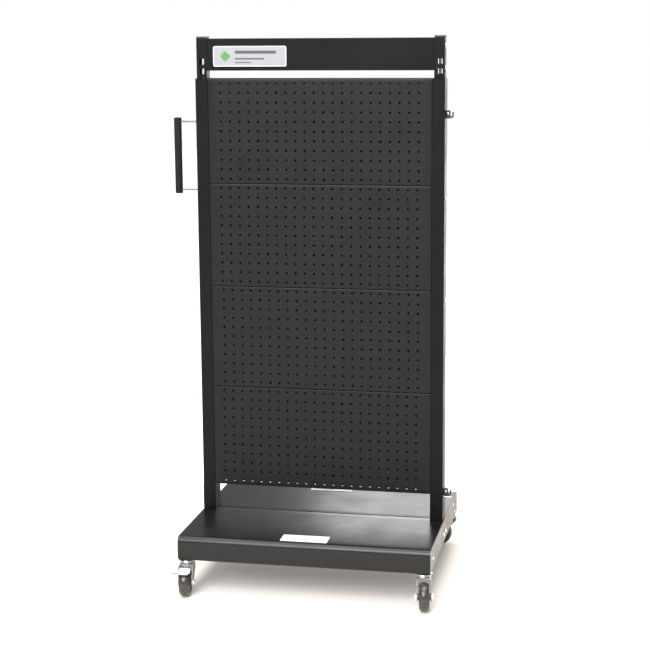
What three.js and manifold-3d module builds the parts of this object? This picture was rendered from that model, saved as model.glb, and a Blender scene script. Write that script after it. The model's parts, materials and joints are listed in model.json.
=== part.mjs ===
// Double-sided mobile pegboard gondola: two slotted posts on a castered base, four perforated-panel
// bays a side, a header between the post tops and a push handle on the left. Millimetres, +Z up,
// front towards -Y. The panels are plain trays here; their holes are too many to carry as solids.
import * as THREE from "three";
import { mergeVertices } from "three/addons/utils/BufferGeometryUtils.js";
import Module from "manifold-3d";

const wasm = await Module();
wasm.setup();

// Driving dimensions.
const PITCH = 25.4;
const GAP = 0.3;
const SHEET = 1.2;

const SLEEVE_OUT = 335.3;
const SLEEVE_WIDTH = 33;
const BAY_DEPTH = 48;
const BAY_TOP = 1350.9;
const BAY_COUNT = 4;
const PANEL_ROWS = 11;
const PANEL_FLANGE = 6;

const POST_X = 319.2;
const POST_WIDTH = 28;
const POST_DEPTH = 30;
const POST_WALL = 1.5;
const POST_TOP = 1456.7;
const SLOT_WIDTH = 6.2;
const SLOT_HEIGHT = 17;
const SLOT_SPACING = 9.4;
const SLOT_ROWS = [1394.5, 1369.4, 1344.3];

const HEADER_BOTTOM = 1371.3;
const HEADER_TOP = 1455.5;
const HEADER_BOLT_Z = [1435.6, 1378.5];
const SLEEVE_SCREW_Z = [1037.4, 766.6];

const DECK_TOP = 158.8;
const SKIRT_BOTTOM = 96.1;
const SKIRT_LIP = 8;
const DECK_FRONT = 281.8;
const BULLNOSE = 16.5;
const FRAME_OUT = 338;
const FLANGE_Z = 97.7;
const RAIL_BOTTOM = 111.1;
const SOCKET_TOP = 233.7;
const FRAME_BOLT_Y = [-19.1, 19.1];
const FRAME_BOLT_Z = 121.1;

const WHEEL_R = 38;
const TRAIL = 30;
const CASTER_X = 318;
const CASTER_Y = 260;
const FORK_IN = 17;
const FORK_OUT = 19.5;
const CROWN_Z = 86;
const PEDAL_PIN_Y = -14;
const PEDAL_PIN_Z = 77.8;
const PEDAL_IN = 45;
const PEDAL_THICK = 2;
const PEDAL_HALF = 16.4;
const PEDAL_TAB = 33;

const HANDLE_X = -393.5;
const HANDLE_ROD_Z = [1235.6, 1052.1];
const GRIP_Z = [1041.6, 1246.1];
const GRIP_R = 10.2;
const ROD_R = 2.5;

const HOOK_REACH = 19.5;
const HOOK_Z = [1257.1, 236.1];

const BADGE_X = [-287, -87];
const BADGE_Z = [1381.9, 1435.7];

// The origin stands under the middle of the overall box, which the handle pulls to the left.
const HANDLE_LEFT = HANDLE_X - GRIP_R;
const HOOK_RIGHT = SLEEVE_OUT + 0.6 + GAP + HOOK_REACH;
const SHIFT_X = -(HANDLE_LEFT + HOOK_RIGHT) / 2;

function finish(name, color, roughness, metalness) {
  const material = new THREE.MeshStandardMaterial({ color, roughness, metalness });
  material.name = name;
  return material;
}

const BLACK_PAINT = finish("black_paint", 0x2b2a2c, 0.42, 0.1);
const BLACK_PLASTIC = finish("black_plastic", 0x1c1c1d, 0.6, 0);
const ZINC = finish("zinc", 0xc9ccd0, 0.25, 1);
const RUBBER = finish("wheel_rubber", 0x2a2725, 0.5, 0);
const GRIP_RUBBER = finish("grip_rubber", 0x1d1d20, 0.75, 0);
const BADGE_SILVER = finish("badge_silver", 0xdcdce2, 0.35, 0.2);
const LABEL_WHITE = finish("label_white", 0xf0f0ee, 0.6, 0);

// A closed solid for boolean work, welded and turned so that its faces look outwards.
function solid(geometry) {
  const bare = geometry.clone();
  bare.deleteAttribute("normal");
  bare.deleteAttribute("uv");
  const welded = mergeVertices(bare, 1e-4);
  const at = welded.getAttribute("position").array;
  const index = welded.getIndex().array;
  const triangles = [];
  let volume = 0;
  for (let i = 0; i < index.length; i += 3) {
    const [a, b, c] = [index[i], index[i + 1], index[i + 2]];
    if (a === b || b === c || c === a) continue;
    triangles.push(a, b, c);
    const pa = new THREE.Vector3().fromArray(at, a * 3);
    const pb = new THREE.Vector3().fromArray(at, b * 3);
    const pc = new THREE.Vector3().fromArray(at, c * 3);
    volume += pa.dot(pb.cross(pc));
  }
  if (volume < 0) triangles.reverse();
  return new wasm.Manifold(new wasm.Mesh({
    numProp: 3,
    vertProperties: Float32Array.from(at),
    triVerts: Uint32Array.from(triangles),
  }));
}

function union(...bodies) {
  return bodies.reduce((sum, body) => sum.add(body));
}

function cut(body, ...tools) {
  return tools.reduce((left, tool) => left.subtract(tool), body);
}

function box(x0, x1, y0, y1, z0, z1) {
  const geometry = new THREE.BoxGeometry(Math.abs(x1 - x0), y1 - y0, z1 - z0);
  geometry.translate((x0 + x1) / 2, (y0 + y1) / 2, (z0 + z1) / 2);
  return solid(geometry);
}

function outline(points) {
  return new THREE.Shape(points.map(([a, b]) => new THREE.Vector2(a, b)));
}

// A [y, z] outline, drawn out along X.
function alongX(shape, x0, x1) {
  const geometry = new THREE.ExtrudeGeometry(shape, { depth: x1 - x0, bevelEnabled: false, curveSegments: 6 });
  const turn = new THREE.Matrix4().makeBasis(
    new THREE.Vector3(0, 1, 0),
    new THREE.Vector3(0, 0, 1),
    new THREE.Vector3(1, 0, 0),
  );
  geometry.applyMatrix4(turn);
  geometry.translate(x0, 0, 0);
  return solid(geometry);
}

// An [x, z] outline, drawn out along Y.
function alongY(shape, y0, y1) {
  const geometry = new THREE.ExtrudeGeometry(shape, { depth: y1 - y0, bevelEnabled: false, curveSegments: 4 });
  geometry.rotateX(Math.PI / 2);
  geometry.translate(0, y1, 0);
  return solid(geometry);
}

// A [radius, height] profile turned about the Z axis through (x, y).
function turnedZ(profile, x, y, segments) {
  const geometry = new THREE.LatheGeometry(profile.map(([r, h]) => new THREE.Vector2(r, h)), segments);
  geometry.rotateX(Math.PI / 2);
  geometry.translate(x, y, 0);
  return solid(geometry);
}

// A [radius, length] profile turned about the X axis through (y, z).
function turnedX(profile, y, z, segments) {
  const geometry = new THREE.LatheGeometry(profile.map(([r, h]) => new THREE.Vector2(r, h)), segments);
  geometry.rotateZ(-Math.PI / 2);
  geometry.translate(0, y, z);
  return solid(geometry);
}

function rodX(radius, x0, x1, y, z, segments = 8) {
  return turnedX([[0, x0], [radius, x0], [radius, x1], [0, x1]], y, z, segments);
}

function rodZ(radius, z0, z1, x, y, segments = 8) {
  return turnedZ([[0, z0], [radius, z0], [radius, z1], [0, z1]], x, y, segments);
}

const unit = new THREE.Group();
unit.name = "pegboard_gondola";

// Adds one body to the unit as a named mesh.
function add(name, body, material) {
  const mesh = body.getMesh();
  let geometry = new THREE.BufferGeometry();
  geometry.setAttribute("position", new THREE.BufferAttribute(mesh.vertProperties, 3));
  geometry.setIndex(new THREE.BufferAttribute(mesh.triVerts, 1));
  geometry.translate(SHIFT_X, 0, 0);
  geometry = geometry.toNonIndexed();
  geometry.computeVertexNormals();
  const part = new THREE.Mesh(geometry, material);
  part.name = name;
  unit.add(part);
}

const SIDES = [["left", -1], ["right", 1]];

function mirrored(body, side) {
  return side < 0 ? body.mirror([1, 0, 0]) : body;
}

// A post: a rectangular tube with two columns of bracket slots through its front and back walls.
function post() {
  const x0 = POST_X - POST_WIDTH / 2;
  const x1 = POST_X + POST_WIDTH / 2;
  const half = POST_DEPTH / 2;
  const w = POST_WALL;
  let tube = cut(
    box(x0, x1, -half, half, FLANGE_Z + 3, POST_TOP),
    box(x0 + w, x1 - w, -half + w, half - w, FLANGE_Z, POST_TOP + 1),
  );
  for (const z of SLOT_ROWS) {
    for (const offset of [-SLOT_SPACING / 2, SLOT_SPACING / 2]) {
      const slot = new THREE.Shape();
      const r = SLOT_WIDTH / 2;
      const rise = SLOT_HEIGHT / 2 - r;
      slot.absarc(POST_X + offset, z + rise, r, 0, Math.PI, false);
      slot.absarc(POST_X + offset, z - rise, r, Math.PI, 2 * Math.PI, false);
      tube = tube.subtract(alongY(slot, -half - 1, half + 1));
    }
  }
  for (const z of HEADER_BOLT_Z) tube = tube.subtract(rodX(3.4, x0 - 2, x1 + 2, 0, z));
  for (const z of SLEEVE_SCREW_Z) tube = tube.subtract(rodX(2.4, POST_X, x1 + 2, 0, z));
  return tube;
}

// The moulded plug that closes a post's top, with a softly chamfered crown.
function postCap() {
  const half = POST_DEPTH / 2;
  const inX = POST_WIDTH / 2 - POST_WALL - GAP;
  const inY = half - POST_WALL - GAP;
  const side = new THREE.Shape();
  side.moveTo(-half, POST_TOP + GAP);
  side.lineTo(half, POST_TOP + GAP);
  side.lineTo(half, POST_TOP + 2.6);
  side.quadraticCurveTo(half, POST_TOP + 4.4, half - 2.6, POST_TOP + 4.4);
  side.lineTo(-half + 2.6, POST_TOP + 4.4);
  side.quadraticCurveTo(-half, POST_TOP + 4.4, -half, POST_TOP + 2.6);
  const crown = alongX(side, POST_X - POST_WIDTH / 2, POST_X + POST_WIDTH / 2);
  const plug = box(POST_X - inX, POST_X + inX, -inY, inY, POST_TOP - 12, POST_TOP + 1);
  const hollow = box(POST_X - inX + 2, POST_X + inX - 2, -inY + 2, inY - 2, POST_TOP - 13, POST_TOP - 1);
  return cut(union(crown, plug), hollow);
}

// The cover that closes the post beside the panels, from the socket to the top panel.
function sleeve(side) {
  const x1 = SLEEVE_OUT;
  const x0 = SLEEVE_OUT - SLEEVE_WIDTH;
  const half = BAY_DEPTH / 2;
  let tube = cut(
    box(x0, x1, -half, half, SOCKET_TOP + GAP, BAY_TOP),
    box(x0 + SHEET, x1 - SHEET, -half + SHEET, half - SHEET, SOCKET_TOP, BAY_TOP + 1),
  );
  for (const z of SLEEVE_SCREW_Z) tube = tube.subtract(rodX(2.4, POST_X + 8, x1 + 2, 0, z));
  if (side < 0) {
    for (const z of HANDLE_ROD_Z) tube = tube.subtract(rodX(ROD_R + GAP, POST_X, x1 + 2, 0, z));
  }
  return tube;
}

// The stub of tube, fixed in the base, that a post stands in.
function socket() {
  const x0 = SLEEVE_OUT - SLEEVE_WIDTH - 1.3;
  const x1 = SLEEVE_OUT + 0.6;
  const half = BAY_DEPTH / 2 + 1;
  const wall = 2;
  let tube = cut(
    box(x0, x1, -half, half, FLANGE_Z + 2 + GAP, SOCKET_TOP),
    box(x0 + wall, x1 - wall, -half + wall, half - wall, FLANGE_Z, SOCKET_TOP + 1),
  );
  for (const y of FRAME_BOLT_Y) tube = tube.subtract(rodX(2.8, POST_X + 6, FRAME_OUT + 3, y, FRAME_BOLT_Z));
  return tube;
}

// A base side: an upright web in the deck's outline, with a flange for the casters and one for the decks.
function sideFrame() {
  const web = new THREE.Shape();
  const end = DECK_FRONT - SHEET / 2;
  web.moveTo(-end, FLANGE_Z + 4);
  web.lineTo(-end + 4, FLANGE_Z);
  web.lineTo(end - 4, FLANGE_Z);
  web.lineTo(end, FLANGE_Z + 4);
  web.lineTo(end, DECK_TOP - BULLNOSE);
  web.absarc(end - BULLNOSE, DECK_TOP - BULLNOSE, BULLNOSE - SHEET / 2, 0, Math.PI / 2, false);
  web.absarc(-end + BULLNOSE, DECK_TOP - BULLNOSE, BULLNOSE - SHEET / 2, Math.PI / 2, Math.PI, false);
  const lip = DECK_FRONT - SHEET - GAP;
  const noseStart = DECK_FRONT - BULLNOSE - 2;
  const half = BAY_DEPTH / 2 + 1 + GAP;
  const inner = SLEEVE_OUT - SLEEVE_WIDTH - 1.3 - GAP;
  let frame = union(
    alongX(web, FRAME_OUT - 1.8, FRAME_OUT),
    box(FRAME_OUT - 48, FRAME_OUT - 1, -lip, lip, FLANGE_Z, FLANGE_Z + 2),
    box(FRAME_OUT - 22, FRAME_OUT - 1, -noseStart, noseStart, DECK_TOP - SHEET - GAP - 2, DECK_TOP - SHEET - GAP),
  );
  frame = frame.subtract(box(inner, FRAME_OUT - 1.8, -half, half, DECK_TOP - 8, DECK_TOP + 1));
  for (const y of FRAME_BOLT_Y) frame = frame.subtract(rodX(2.8, POST_X + 6, FRAME_OUT + 3, y, FRAME_BOLT_Z));
  for (const y of [-CASTER_Y, CASTER_Y]) {
    frame = frame.subtract(rodZ(5.6, FLANGE_Z - 2, FLANGE_Z + 4, CASTER_X, y));
  }
  return frame;
}

// The front deck: one folded sheet with a bullnosed front edge, a skirt with a return lip, and a
// flange down at the centre line. Its back corners are notched round the sockets.
function deck() {
  const t = SHEET;
  const front = -DECK_FRONT;
  const noseY = front + BULLNOSE;
  const noseZ = DECK_TOP - BULLNOSE;
  const section = new THREE.Shape();
  section.moveTo(-GAP, DECK_TOP);
  section.lineTo(noseY, DECK_TOP);
  section.absarc(noseY, noseZ, BULLNOSE, Math.PI / 2, Math.PI, false);
  section.lineTo(front, SKIRT_BOTTOM);
  section.lineTo(front + SKIRT_LIP, SKIRT_BOTTOM);
  section.lineTo(front + SKIRT_LIP, SKIRT_BOTTOM + t);
  section.lineTo(front + t, SKIRT_BOTTOM + t);
  section.lineTo(front + t, noseZ);
  section.absarc(noseY, noseZ, BULLNOSE - t, Math.PI, Math.PI / 2, true);
  section.lineTo(-GAP - t, DECK_TOP - t);
  section.lineTo(-GAP - t, DECK_TOP - 12.5);
  section.lineTo(-GAP, DECK_TOP - 12.5);
  const edge = FRAME_OUT - 1.8 - GAP;
  const inner = SLEEVE_OUT - SLEEVE_WIDTH - 1.3 - 2 * GAP;
  const half = BAY_DEPTH / 2 + 1 + 2 * GAP;
  const sheet = alongX(section, -edge, edge);
  const notch = box(inner, edge + 1, -half, 1, SKIRT_BOTTOM, DECK_TOP + 1);
  return cut(sheet, notch, notch.mirror([1, 0, 0]));
}

// The tube that ties the two sockets together under the deck joint.
function centreRail() {
  const x = SLEEVE_OUT - SLEEVE_WIDTH - 1.3 - GAP;
  return cut(
    box(-x, x, -12.5, 12.5, RAIL_BOTTOM, DECK_TOP - 12.5 - GAP),
    box(-x - 1, x + 1, -11, 11, RAIL_BOTTOM + 1.5, DECK_TOP - 14 - GAP),
  );
}

// A front panel tray: a face sheet with a return flange on each edge.
function pegPanel(index) {
  const height = PANEL_ROWS * PITCH - 0.8;
  const z1 = BAY_TOP - index * PANEL_ROWS * PITCH;
  const z0 = z1 - height;
  const x = SLEEVE_OUT - SLEEVE_WIDTH - GAP;
  const y = -BAY_DEPTH / 2;
  const t = SHEET;
  return cut(
    box(-x, x, y, y + PANEL_FLANGE, z0, z1),
    box(-x + t, x - t, y + t, y + PANEL_FLANGE + 1, z0 + t, z1 - t),
  );
}

// The header: a hollow flat box between the posts, bolted through them at each end.
function header() {
  const x = POST_X - POST_WIDTH / 2 - GAP;
  const half = POST_DEPTH / 2 - 0.1;
  const t = SHEET;
  let shell = cut(
    box(-x, x, -half, half, HEADER_BOTTOM, HEADER_TOP),
    box(-x + 2, x - 2, -half + t, half - t, HEADER_BOTTOM + t, HEADER_TOP - t),
  );
  for (const z of HEADER_BOLT_Z) shell = shell.subtract(rodX(3.4, -x - 1, x + 1, 0, z));
  return shell;
}

function roundedRectangle(x0, x1, z0, z1, r) {
  const shape = new THREE.Shape();
  shape.absarc(x1 - r, z0 + r, r, -Math.PI / 2, 0, false);
  shape.absarc(x1 - r, z1 - r, r, 0, Math.PI / 2, false);
  shape.absarc(x0 + r, z1 - r, r, Math.PI / 2, Math.PI, false);
  shape.absarc(x0 + r, z0 + r, r, Math.PI, 1.5 * Math.PI, false);
  return shape;
}

// A header bolt with its dome head outside the post and its nut inside the header.
function headerBolt(z) {
  const out = POST_X + POST_WIDTH / 2 + GAP;
  const inside = POST_X - POST_WIDTH / 2 - 2 - 2 * GAP;
  return turnedX([
    [0, inside - 5], [5, inside - 5], [5, inside], [3, inside],
    [3, out], [5.6, out], [4.4, out + 3], [0, out + 4],
  ], 0, z, 10);
}

// A short screw with a dome head on the sleeve.
function sleeveScrew(z) {
  const out = SLEEVE_OUT + GAP;
  return turnedX([
    [0, out - 10], [2, out - 10], [2, out], [5, out], [3.8, out + 2.6], [0, out + 3.6],
  ], 0, z, 10);
}

// A bolt that holds a base side to its socket.
function frameBolt(y) {
  const out = FRAME_OUT + GAP;
  const inside = SLEEVE_OUT + 0.6 - 2 - GAP;
  return turnedX([
    [0, inside - 4], [3.6, inside - 4], [3.6, inside], [2.5, inside],
    [2.5, out], [6, out], [4.6, out + 2.8], [0, out + 3.8],
  ], y, FRAME_BOLT_Z, 10);
}

// The fixed top of a caster: ball race cup, boss and threaded stem through the base flange.
function casterHead(x, y) {
  const top = FLANGE_Z - GAP;
  return turnedZ([
    [0, CROWN_Z + 3.5], [18, CROWN_Z + 3.5], [22.8, CROWN_Z + 5], [21, CROWN_Z + 7.5], [9.5, CROWN_Z + 9],
    [9.5, top], [5, top], [5, FLANGE_Z + 2 + GAP], [9, FLANGE_Z + 2 + GAP], [9, FLANGE_Z + 8], [0, FLANGE_Z + 8],
  ], x, y, 16);
}

// A caster fork about a swivel axis on Z, with its wheel trailing towards -Y.
function fork(braked) {
  const leg = new THREE.Shape();
  leg.moveTo(17, CROWN_Z);
  leg.lineTo(-25, CROWN_Z);
  leg.lineTo(-TRAIL - 10.6, WHEEL_R + 4);
  leg.absarc(-TRAIL, WHEEL_R, 11, Math.PI - 0.3, 1.85 * Math.PI, false);
  leg.lineTo(17, CROWN_Z - 16);
  const crown = box(-FORK_OUT, FORK_OUT, -25, 17, CROWN_Z - 2.5, CROWN_Z);
  const race = turnedZ([
    [0, CROWN_Z - 1], [19, CROWN_Z - 1], [20.5, CROWN_Z + 1.5], [18.5, CROWN_Z + 3.2], [0, CROWN_Z + 3.2],
  ], 0, 0, 16);
  let body = union(crown, race, alongX(leg, FORK_IN, FORK_OUT), alongX(leg, -FORK_OUT, -FORK_IN));
  body = body.subtract(rodX(4.3, -FORK_OUT - 1, FORK_OUT + 1, -TRAIL, WHEEL_R));
  if (braked) body = body.subtract(rodX(2.4, -FORK_OUT - 1, FORK_OUT + 1, PEDAL_PIN_Y, PEDAL_PIN_Z));
  return body;
}

function wheel() {
  return turnedX([
    [4.1, -16.5], [9, -16.5], [10, -11.5], [28, -11.5], [30, -12.8], [35, -12.6], [WHEEL_R, -6],
    [WHEEL_R, 6], [35, 12.6], [30, 12.8], [28, 11.5], [10, 11.5], [9, 16.5], [4.1, 16.5], [4.1, -16.5],
  ], -TRAIL, WHEEL_R, 24);
}

function axle() {
  return turnedX([
    [0, -25], [5.5, -25], [7.5, -23.6], [7.5, -19.8], [3.9, -19.8],
    [3.9, 19.8], [7.5, 19.8], [7.5, 23.6], [5.5, 25], [0, 25],
  ], -TRAIL, WHEEL_R, 12);
}

// The brake pedal: a curved shoe in front of the tread, hung by two ears from a pin under the crown,
// with a foot tab that reaches out past its left ear.
function brakePedal() {
  const low = (47 * Math.PI) / 180;
  const high = (80 * Math.PI) / 180;
  const shoe = new THREE.Shape();
  shoe.absarc(-TRAIL, WHEEL_R, PEDAL_IN + PEDAL_THICK, Math.PI - low, Math.PI - high, true);
  shoe.absarc(-TRAIL, WHEEL_R, PEDAL_IN, Math.PI - high, Math.PI - low, false);
  const lipY = -TRAIL - PEDAL_IN * Math.cos(low);
  const lipZ = WHEEL_R + PEDAL_IN * Math.sin(low);
  const lip = outline([[lipY + 0.6, lipZ], [lipY - 0.6, lipZ + 2], [lipY - 7, lipZ + 0.4], [lipY - 7, lipZ - 1.6]]);
  const ear = outline([
    [-62, 72.4], [-60.7, 70.9], [-42, 72.5], [-13, 74.3], [-10.3, 77.8], [-13, 81.6], [-39, 83.3], [-50, 79.8],
  ]);
  return union(
    alongX(shoe, -PEDAL_HALF, PEDAL_HALF),
    alongX(lip, -PEDAL_TAB, PEDAL_HALF - 3),
    alongX(ear, -PEDAL_HALF, -PEDAL_HALF + 1.6),
    alongX(ear, PEDAL_HALF - 1.6, PEDAL_HALF),
    rodX(2, -FORK_OUT + 0.2, FORK_OUT - 0.2, PEDAL_PIN_Y, PEDAL_PIN_Z),
  );
}

// The handle rod: a U of round bar whose two ends pass into the left post's cover.
function handleRod() {
  const [top, bottom] = HANDLE_ROD_Z;
  const corner = (z) => {
    const ball = new THREE.SphereGeometry(ROD_R, 8, 6);
    ball.translate(HANDLE_X, 0, z);
    return solid(ball);
  };
  const end = -POST_X - POST_WIDTH / 2 - GAP;
  return union(
    rodX(ROD_R, HANDLE_X, end, 0, top),
    rodX(ROD_R, HANDLE_X, end, 0, bottom),
    rodZ(ROD_R, bottom, top, HANDLE_X, 0),
    corner(top),
    corner(bottom),
  );
}

// The grip moulded over the rod, with a side opening where each arm leaves it.
function handleGrip() {
  const [z0, z1] = GRIP_Z;
  const [top, bottom] = HANDLE_ROD_Z;
  const body = turnedZ([
    [0, z0], [GRIP_R - 2.5, z0], [GRIP_R, z0 + 2.5], [GRIP_R, z1 - 2.5], [GRIP_R - 2.5, z1], [0, z1],
  ], HANDLE_X, 0, 16);
  const bore = ROD_R + GAP;
  return cut(
    body,
    rodZ(bore, bottom - bore, top + bore, HANDLE_X, 0),
    rodX(bore, HANDLE_X, HANDLE_X + GRIP_R + 2, 0, top),
    rodX(bore, HANDLE_X, HANDLE_X + GRIP_R + 2, 0, bottom),
  );
}

// An accessory hook on the right side: a block against the post, an arm and an upturned tip.
function sideHook(z, base) {
  const block = outline([
    [base, z - 10.5], [base + 11, z - 10.5], [base + HOOK_REACH, z - 7.5], [base + HOOK_REACH, z + 6.5],
    [base + HOOK_REACH - 3, z + 6.5], [base + HOOK_REACH - 3, z - 4], [base + 11, z - 4],
    [base + 11, z + 8.5], [base + 9, z + 10.5], [base, z + 10.5],
  ]);
  return alongY(block, -6, 6);
}

for (const [name, side] of SIDES) {
  add(`post_${name}`, mirrored(post(), side), BLACK_PAINT);
  add(`post_cap_${name}`, mirrored(postCap(), side), BLACK_PLASTIC);
  add(`post_sleeve_${name}`, mirrored(sleeve(side), side), BLACK_PAINT);
  add(`post_socket_${name}`, mirrored(socket(), side), BLACK_PAINT);
  add(`base_side_${name}`, mirrored(sideFrame(), side), BLACK_PAINT);
  for (const [i, z] of HEADER_BOLT_Z.entries()) {
    add(`header_bolt_${name}_${i + 1}`, mirrored(headerBolt(z), side), ZINC);
  }
  for (const [i, z] of SLEEVE_SCREW_Z.entries()) {
    add(`sleeve_screw_${name}_${i + 1}`, mirrored(sleeveScrew(z), side), ZINC);
  }
  for (const [i, y] of FRAME_BOLT_Y.entries()) {
    add(`base_bolt_${name}_${i + 1}`, mirrored(frameBolt(y), side), ZINC);
  }
}

add("base_rail", centreRail(), BLACK_PAINT);
for (const [name, turn] of [["front", 0], ["rear", 180]]) {
  add(`deck_${name}`, deck().rotate([0, 0, turn]), BLACK_PAINT);
  for (let i = 0; i < BAY_COUNT; i += 1) {
    add(`peg_panel_${name}_${i + 1}`, pegPanel(i).rotate([0, 0, turn]), BLACK_PAINT);
  }
}

const LABEL_Z = DECK_TOP + GAP;
const LABEL_Y = [213, 264.5];
add("deck_label_front", box(-63, 62, -LABEL_Y[1], -LABEL_Y[0], LABEL_Z, LABEL_Z + 0.4), LABEL_WHITE);
add("deck_label_rear", box(-81, 41, LABEL_Y[0], LABEL_Y[1], LABEL_Z, LABEL_Z + 0.4), LABEL_WHITE);

add("header_panel", header(), BLACK_PAINT);
const BADGE_Y = -POST_DEPTH / 2 + 0.1 - GAP;
const badge = alongY(roundedRectangle(...BADGE_X, ...BADGE_Z, 5), BADGE_Y - 1.2, BADGE_Y);
add("header_badge", badge, BADGE_SILVER);

add("handle_rod", handleRod(), ZINC);
add("handle_grip", handleGrip(), GRIP_RUBBER);
add("side_hook_upper", sideHook(HOOK_Z[0], SLEEVE_OUT + GAP), BLACK_PLASTIC);
add("side_hook_lower", sideHook(HOOK_Z[1], SLEEVE_OUT + 0.6 + GAP), BLACK_PLASTIC);

// Each caster: its corner, the angle its wheel trails at, and whether it has a brake.
const CASTERS = [
  ["front_left", -CASTER_X, -CASTER_Y, 6, true],
  ["front_right", CASTER_X, -CASTER_Y, 10, false],
  ["rear_left", -CASTER_X, CASTER_Y, 174, true],
  ["rear_right", CASTER_X, CASTER_Y, -100, false],
];

for (const [name, x, y, yaw, braked] of CASTERS) {
  const placed = (body) => body.rotate([0, 0, yaw]).translate([x, y, 0]);
  add(`caster_head_${name}`, casterHead(x, y), ZINC);
  add(`caster_fork_${name}`, placed(fork(braked)), ZINC);
  add(`caster_wheel_${name}`, placed(wheel()), RUBBER);
  add(`caster_axle_${name}`, placed(axle()), ZINC);
  if (braked) add(`brake_pedal_${name}`, placed(brakePedal()), ZINC);
}

export default unit;
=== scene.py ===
"""A double-sided mobile pegboard gondola: black powder-coated steel on four zinc-plated casters.

Lengths that start as millimetres are turned into metres where a mesh is made. The front is towards -Y.
"""
import json
import math
import bmesh
import bpy
from mathutils import Matrix, Vector


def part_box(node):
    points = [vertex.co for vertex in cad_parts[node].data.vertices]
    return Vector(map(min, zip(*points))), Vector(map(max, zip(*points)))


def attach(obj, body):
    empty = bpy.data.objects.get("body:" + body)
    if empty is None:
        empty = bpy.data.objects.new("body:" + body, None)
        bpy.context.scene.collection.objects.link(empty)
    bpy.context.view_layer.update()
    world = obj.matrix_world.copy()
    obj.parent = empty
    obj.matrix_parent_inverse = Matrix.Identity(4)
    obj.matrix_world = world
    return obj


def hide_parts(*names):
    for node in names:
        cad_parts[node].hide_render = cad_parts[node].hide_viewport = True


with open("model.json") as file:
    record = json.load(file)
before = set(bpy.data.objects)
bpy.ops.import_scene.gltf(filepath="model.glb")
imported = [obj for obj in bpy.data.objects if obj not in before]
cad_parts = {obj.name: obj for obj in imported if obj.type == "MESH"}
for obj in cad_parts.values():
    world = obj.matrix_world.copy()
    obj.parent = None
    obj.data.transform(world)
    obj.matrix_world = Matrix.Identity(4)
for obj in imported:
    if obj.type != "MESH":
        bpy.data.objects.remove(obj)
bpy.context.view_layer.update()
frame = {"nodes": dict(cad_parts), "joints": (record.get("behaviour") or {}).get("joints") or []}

MM = 0.001
SHEET = 1.2

PITCH = 25.4
HOLE_COLUMNS = 22
HOLE_ROWS = 11
HOLE_R = 3.25
HOLE_POINTS = 16
FIRST_ROW_DROP = 12.25
PANEL_BEND = 2.3
PANEL_FLANGE = 6.0
# How far each panel's hole pattern sits from the nominal grid, top panel first: (across, up).
PATTERN_SHIFT = [(0.0, 0.0), (-3.1, 0.9), (-0.6, 1.5), (-4.5, 1.6)]

BULLNOSE = 16.5
SKIRT_LIP = 8.0
DECK_BEND = 1.8
DECK_FLANGE = 12.5
# Free play round the post sockets, where the decks are notched.
NOTCH_PLAY = 0.6

BADGE_INSET = 2.4
PRINT_PROUD = 0.26

BAR_R = 2.5
BAR_BEND = 7.0
BAR_STRAIGHT = 30.0
GRIP_EDGE = 3.0

WHEEL_R = 38.0
TRAIL = 30.0
CROWN_Z = 86.0
FORK_MID = 18.25
FORK_SHEET = 2.5
FORK_BEND = 6.0
# The legs' round lower ends, and the heights where their front and back edges leave the round.
LEG_END_R = 11.0
LEG_FRONT_Z = 42.0
LEG_BACK_Z = 33.0
TREAD_HALF = 12.8
TREAD_EDGE_R = 9.4
SHOE_R = 46.0
SHOE_HALF = 15.6
PEDAL_PIN = (-14.0, 77.8)
# The underside of the base flange that the caster stems go through.
FLANGE_Z = 97.7
CORNERS = ("front_left", "front_right", "rear_left", "rear_right")

FLOOR_REACH = 15000.0

# The camera's place is in metres and its angles are in degrees.
CAMERA_AT = (0.900289, -4.237924, 1.488289)
CAMERA_HEADING = 11.5732
CAMERA_PITCH = 10.4783
CAMERA_ROLL = -0.4103
CAMERA_LENS = 89.771


# Mesh helpers.

def finish_mesh(name, bm, material, body, replaced=(), sharp=35.0):
    """Makes an object of bm, which is in millimetres, and lets it ride on a body."""
    bmesh.ops.recalc_face_normals(bm, faces=bm.faces)
    bmesh.ops.scale(bm, vec=Vector((MM, MM, MM)), verts=bm.verts)
    mesh = bpy.data.meshes.new(name)
    bm.to_mesh(mesh)
    bm.free()
    piece = bpy.data.objects.new(name, mesh)
    bpy.context.scene.collection.objects.link(piece)
    for polygon in mesh.polygons:
        polygon.use_smooth = True
    mesh.set_sharp_from_angle(angle=math.radians(sharp))
    mesh.materials.append(material)
    if body is None:
        return piece
    if replaced:
        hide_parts(*replaced)
    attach(piece, body)
    return piece


def add_bevel(piece, width, segments=2, angle=40.0):
    bevel = piece.modifiers.new("edge", "BEVEL")
    bevel.width = width * MM
    bevel.segments = segments
    bevel.limit_method = "ANGLE"
    bevel.angle_limit = math.radians(angle)
    bevel.harden_normals = True
    return bevel


def add_thickness(piece, thickness, offset=-1.0, sharp=35.0, edge=0.0):
    """Gives a skin its sheet thickness, with an optional rounded edge, and marks the new sharp edges."""
    solid = piece.modifiers.new("sheet", "SOLIDIFY")
    solid.thickness = thickness * MM
    solid.offset = offset
    solid.use_even_offset = True
    if edge:
        add_bevel(piece, edge, 2, 50.0).harden_normals = False
    bpy.context.view_layer.update()
    finished = bpy.data.meshes.new_from_object(piece.evaluated_get(bpy.context.evaluated_depsgraph_get()))
    finished.name = piece.data.name
    skin = piece.data
    piece.modifiers.clear()
    piece.data = finished
    bpy.data.meshes.remove(skin)
    finished.set_sharp_from_angle(angle=math.radians(sharp))


def grid_faces(bm, rows, closed=False):
    """Quads between neighbouring rows of points; closed joins each row's ends."""
    loops = [[bm.verts.new(point) for point in row] for row in rows]
    for lower, upper in zip(loops, loops[1:]):
        count = len(lower)
        for i in range(count if closed else count - 1):
            j = (i + 1) % count
            bm.faces.new((lower[i], lower[j], upper[j], upper[i]))
    return loops


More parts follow.
